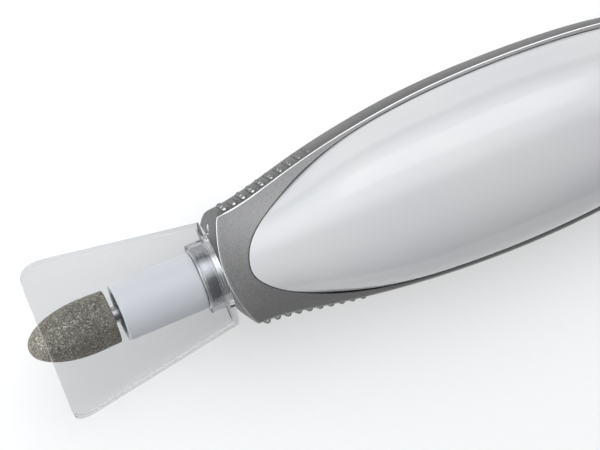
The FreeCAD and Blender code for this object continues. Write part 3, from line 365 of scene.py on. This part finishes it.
def abrasive_bit():
    low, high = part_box("bit_head")
    tip, rear = low.x / MM, high.x / MM
    radius = (high.y - low.y) / 2 / MM
    nose = 11.3
    outline = [(tip + 0.02, 0.02)]
    for step in range(1, 90):
        angle = math.pi / 2 * step / 90
        outline.append((tip + nose * (1 - math.cos(angle)), radius * math.sin(angle) ** 0.94))
    outline += [(tip + nose + 0.15 * step, radius - 0.005 * step) for step in range(28)]
    edge = softened([outline[-1], (rear, radius - 0.16), (rear, 1.5), (rear - 1.5, 1.48)], 0.4)
    inner = [(rear - 3, 1.45), (tip + 3, 1.2), (tip + 0.6, 0.02)]
    outline += [tuple(point) for point in edge] + inner
    dressed(lathe("bit_abrasive", outline, BIT_SEGMENTS, grit_shift), "bit", "bit_head", "abrasive")


def chrome_collar():
    low, high = collar_low.x / MM, collar_high.x / MM
    bore = 4.2
    corners = [(low + 2, bore), (low, bore), (low, 5.42), (low + 0.5, 5.42), (low + 0.5, 5.6),
               (low + 2.7, 5.6), (low + 2.72, 5.3), (low + 2.85, 5.3), (low + 2.87, 5.5), (low + 3.45, 5.5),
               (low + 3.47, 5.74), (high, 5.74), (high, bore), (high - 2, bore)]
    ring = lathe("collar_turned", [tuple(p) for p in softened(corners, 0.12)], TURNED_SEGMENTS)
    dressed(ring, "housing", "collar_ring", "collar_chrome")


def white_sleeve():
    low, high = (corner.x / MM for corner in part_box("nose_sleeve"))
    shoulder = low + 6.8
    corners = [(shoulder, 3.9), (shoulder, 3.8), (low, 3.8), (low, 5.3), (high, 5.3), (high, 4.2),
               (shoulder, 4.2), (shoulder, 3.9)]
    tube = lathe("sleeve_tube", [tuple(p) for p in softened(corners, 0.35)], TURNED_SEGMENTS)
    dressed(tube, "housing", "nose_sleeve", "sleeve_white")


def light_lens():
    low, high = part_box("light_window")
    centre = Vector((0, (low.y + high.y) / 2, (low.z + high.z) / 2))
    front, rear = low.x / MM + 0.35, high.x / MM
    outline = [(front + 0.3 * (step / 8) ** 2, 0.02 + 0.9 * step / 8) for step in range(9)]
    outline += [(front + 0.5, 1.02), (rear, 1.02), (rear, 0.02)]
    lens = lathe("lens_domed", outline, LENS_SEGMENTS, centre=centre)
    dressed(lens, "housing", "light_window", "lens_clear")


abrasive_bit()
chrome_collar()
white_sleeve()
light_lens()


# ---------------------------------------------------------------- studio and camera

def floor():
    mesh = bpy.data.meshes.new("floor")
    mesh.from_pydata([(-3, -3, 0), (3, -3, 0), (3, 3, 0), (-3, 3, 0)], [], [(0, 1, 2, 3)])
    plane = bpy.data.objects.new("floor", mesh)
    bpy.context.scene.collection.objects.link(plane)
    s = Shader("paper")
    fibre = s.clouds(1.4, 4)
    across = s.add("SeparateXYZ", Vector=s.place).outputs["Y"]
    s.set(Base_Color=s.mix(fibre, grey(0.53), grey(0.55)), Roughness=0.75, Emission_Color=grey(1),
          Emission_Strength=s.span(across, -0.06, 0.05, 0.28, 0.43))
    both = s.add("MixShader")
    s.feed(both.inputs[0], s.nodes.new("ShaderNodeNewGeometry").outputs["Backfacing"])
    s.feed(both.inputs[1], s.surface.outputs[0])
    s.feed(both.inputs[2], s.add("BsdfTransparent").outputs[0])
    s.feed(s.nodes["Material Output"].inputs["Surface"], both.outputs[0])
    mesh.materials.append(s.material)


def softbox(name, place, target, size, power, colour=(1, 1, 1)):
    light = bpy.data.lights.new(name, "AREA")
    light.shape = "RECTANGLE"
    light.size, light.size_y = size
    light.energy = power
    light.color = colour
    item = bpy.data.objects.new(name, light)
    item.location = place
    item.rotation_euler = (Vector(target) - Vector(place)).to_track_quat("-Z", "Y").to_euler()
    bpy.context.scene.collection.objects.link(item)


def surroundings():
    """One large soft light high on the +Y side, fading into dim walls and a pale front."""
    world = bpy.data.worlds.new("studio")
    world.use_nodes = True
    nodes, links = world.node_tree.nodes, world.node_tree.links
    way = nodes.new("ShaderNodeTexCoord").outputs["Generated"]
    level = None
    for direction, low, high, strength in LOBES:
        dot = nodes.new("ShaderNodeVectorMath")
        dot.operation = "DOT_PRODUCT"
        dot.inputs[1].default_value = direction
        links.new(way, dot.inputs[0])
        fade = nodes.new("ShaderNodeMapRange")
        fade.interpolation_type = "SMOOTHSTEP"
        for socket, value in (("From Min", low), ("From Max", high), ("To Min", 0), ("To Max", strength)):
            fade.inputs[socket].default_value = value
        links.new(dot.outputs["Value"], fade.inputs["Value"])
        total = nodes.new("ShaderNodeMath")
        total.inputs[1].default_value = BASE_LIGHT
        links.new(fade.outputs[0], total.inputs[0])
        if level:
            links.new(level, total.inputs[1])
        level = total.outputs[0]
    background = nodes["Background"]
    background.inputs["Color"].default_value = (0.97, 0.985, 1, 1)
    links.new(level, background.inputs["Strength"])
    bpy.context.scene.world = world


def photo_camera():
    """A long lens from above, leaning to the bit's end and to +Y. The sizes are metres."""
    tilt, roll, turn = (math.radians(angle) for angle in (9, 10, 22.7))
    toward = Vector((-math.sin(tilt), math.cos(tilt) * math.sin(roll), math.cos(tilt) * math.cos(roll)))
    along = (Vector((1, 0, 0)) - toward * toward.x).normalized()
    across = toward.cross(along)
    right = along * math.cos(turn) - across * math.sin(turn)
    up = along * math.sin(turn) + across * math.cos(turn)
    target = COLLAR_REAR + Vector((-0.5 * MM, 0, 0)) + right * 0.0147 + up * 0.0083
    camera = bpy.data.cameras.new("camera")
    camera.lens = 180
    camera.sensor_width = 36
    camera.clip_end = 10
    item = bpy.data.objects.new("camera", camera)
    matrix = Matrix((right, up, toward)).transposed().to_4x4()
    matrix.translation = target + toward * 0.531
    item.matrix_world = matrix
    bpy.context.scene.collection.objects.link(item)
    bpy.context.scene.camera = item


floor()
surroundings()
softbox("key", (0.1, 0.55, 0.6), (0, 0, 0), (0.5, 0.4), 0.8)
softbox("rim", (-0.5, 0, 0.3), (-0.03, 0, 0.01), (0.6, 0.07), 0.4)
photo_camera()
bpy.context.scene.view_settings.view_transform = "Standard"
